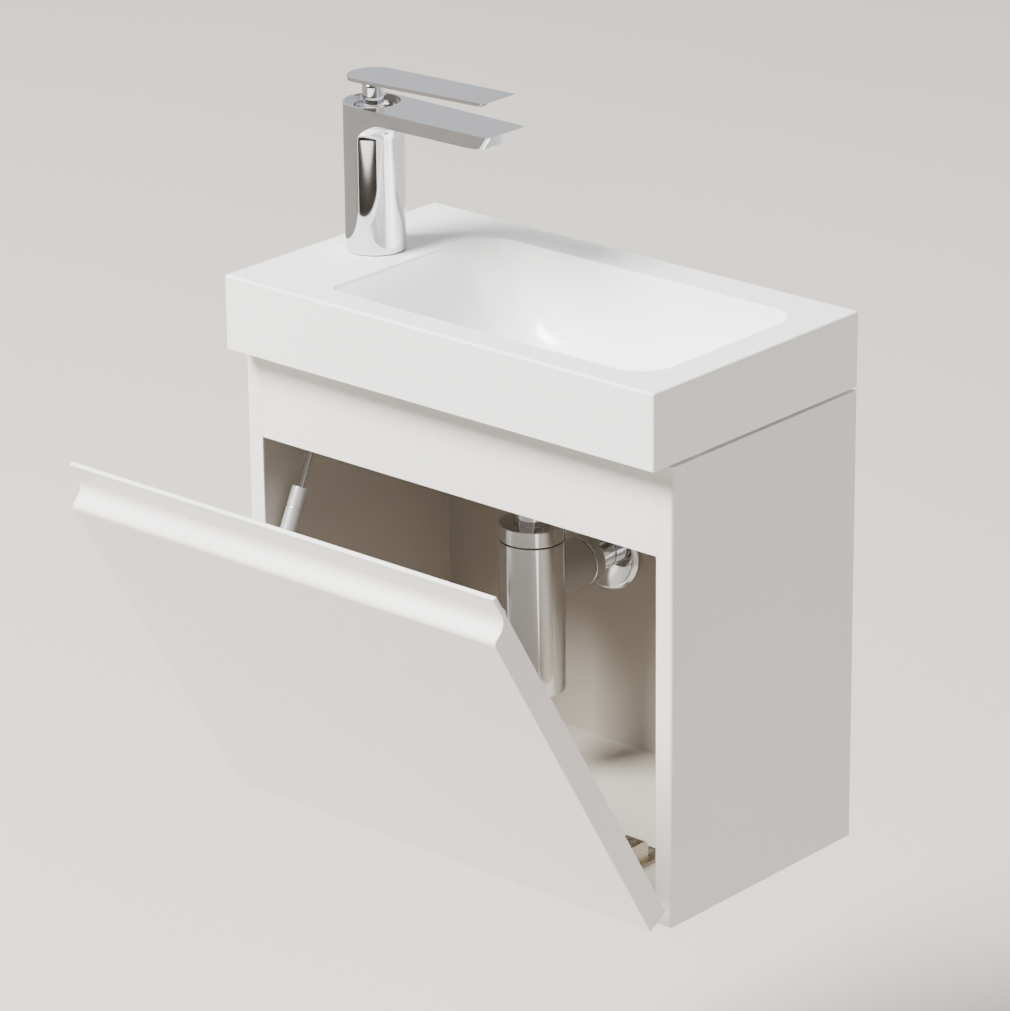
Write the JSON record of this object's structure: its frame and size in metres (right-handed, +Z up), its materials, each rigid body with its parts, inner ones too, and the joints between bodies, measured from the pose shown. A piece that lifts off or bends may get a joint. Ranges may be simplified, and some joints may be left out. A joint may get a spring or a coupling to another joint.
{
  "type": "bathroom vanity cabinet",
  "caption": "Wall-hung cloakroom vanity: shallow cabinet with a tilting front door, washbasin with an off-centre bowl, side-mounted lever tap and chrome bottle trap.",
  "frame": {"origin": "midway between the two wall fixing holes, on the wall plane behind the cabinet", "axes": "+X to the right seen from the room, +Y into the wall, +Z up"},
  "size_m": [0.5, 0.5223, 0.6713],
  "materials": {
    "white_board": "white melamine, satin",
    "back_board": "thin white-faced board, matt",
    "door_lacquer": "white lacquered board, satin gloss",
    "basin_cast": "white, polished",
    "chrome": "bright chrome plate",
    "brass": "turned brass",
    "hinge_nickel": "nickel plated pressing",
    "steel": "plated steel",
    "strut_grey": "light grey enamel",
    "black_rubber": "matt black",
    "clear_silicone": "translucent silicone",
    "beech": "beech, fluted",
    "cartridge_plastic": "moulded, off-white"
  },
  "bodies": {
    "cabinet": {"back_panel": "back_board", "basin": "basin_cast", "basin_pads": "clear_silicone", "carcass_dowels": "beech", "fascia_panel": "white_board", "floor_panel": "white_board", "hanging_rail": "white_board", "hinge_arm_left": "hinge_nickel", "hinge_arm_right": "hinge_nickel", "hinge_plate_left": "hinge_nickel", "hinge_plate_right": "hinge_nickel", "hinge_screws": "steel", "outlet_pipe": "chrome", "side_panel_left": "white_board", "side_panel_right": "white_board", "strut_panel_bracket": "hinge_nickel", "strut_panel_screws": "steel", "tap_aerator": "chrome", "tap_backnut": "brass", "tap_body": "chrome", "tap_cartridge": "cartridge_plastic", "tap_cartridge_nut": "chrome", "tap_gasket": "black_rubber", "tap_shank": "brass", "tap_washer": "black_rubber", "trap_body": "chrome", "trap_cap_nut": "chrome", "trap_cap_seal": "black_rubber", "trap_inlet_tube": "chrome", "trap_outlet_nut": "chrome", "trap_outlet_seal": "black_rubber", "wall_rosette": "chrome", "waste_body": "brass", "waste_flange": "chrome", "waste_nut": "brass", "waste_seal": "black_rubber", "waste_union_nut": "chrome"},
    "door": {"door_panel": "door_lacquer", "hinge_cup_left": "hinge_nickel", "hinge_cup_right": "hinge_nickel", "hinge_cup_screws": "steel", "hinge_pin_left": "steel", "hinge_pin_right": "steel", "door_bumpers": "clear_silicone", "strut_door_bracket": "hinge_nickel", "strut_door_screws": "steel"},
    "strut_rod": {"strut_rod": "steel", "strut_rod_eye": "strut_grey"},
    "strut_tube": {"strut_tube": "strut_grey", "strut_collar": "strut_grey", "strut_tube_eye": "strut_grey"},
    "tap_carrier": {"tap_carrier": "cartridge_plastic", "tap_tilt_pin": "steel"},
    "tap_lever": {"tap_lever": "chrome"},
    "waste_plug": {"waste_plug": "chrome"}
  },
  "joints": [
    {"name": "door_hinge", "type": "hinge", "parent": "cabinet", "child": "door", "pos_m": [0, -0.2776, -0.3792], "axis": [1, 0, 0], "range_deg": [-31, 0]},
    {"name": "strut_rod_pivot", "type": "hinge", "parent": "cabinet", "child": "strut_rod", "pos_m": [-0.216, -0.1717, 0.008], "axis": [1, 0, 0], "range_deg": [-0.5, 11.5]},
    {"name": "strut_tube_pivot", "type": "hinge", "parent": "door", "child": "strut_tube", "pos_m": [-0.216, -0.3066, -0.27075], "axis": [1, 0, 0], "range_deg": [-1, 43]},
    {"name": "tap_turn", "type": "hinge", "parent": "cabinet", "child": "tap_carrier", "pos_m": [-0.198, -0.135, 0.234], "axis": [0, 0, 1], "range_deg": [-45, 45]},
    {"name": "tap_lift", "type": "hinge", "parent": "tap_carrier", "child": "tap_lever", "pos_m": [-0.198, -0.135, 0.234], "axis": [0, -1, 0], "range_deg": [0, 22]},
    {"name": "waste_plug_press", "type": "slide", "parent": "cabinet", "child": "waste_plug", "axis": [0, 0, 1], "range_m": [-0.006, 0]}
  ],
  "couplings": [
    {"joint": "strut_rod_pivot", "follows": "door_hinge", "ratio": -0.34881},
    {"joint": "strut_tube_pivot", "follows": "door_hinge", "ratio": -1.3488}
  ]
}
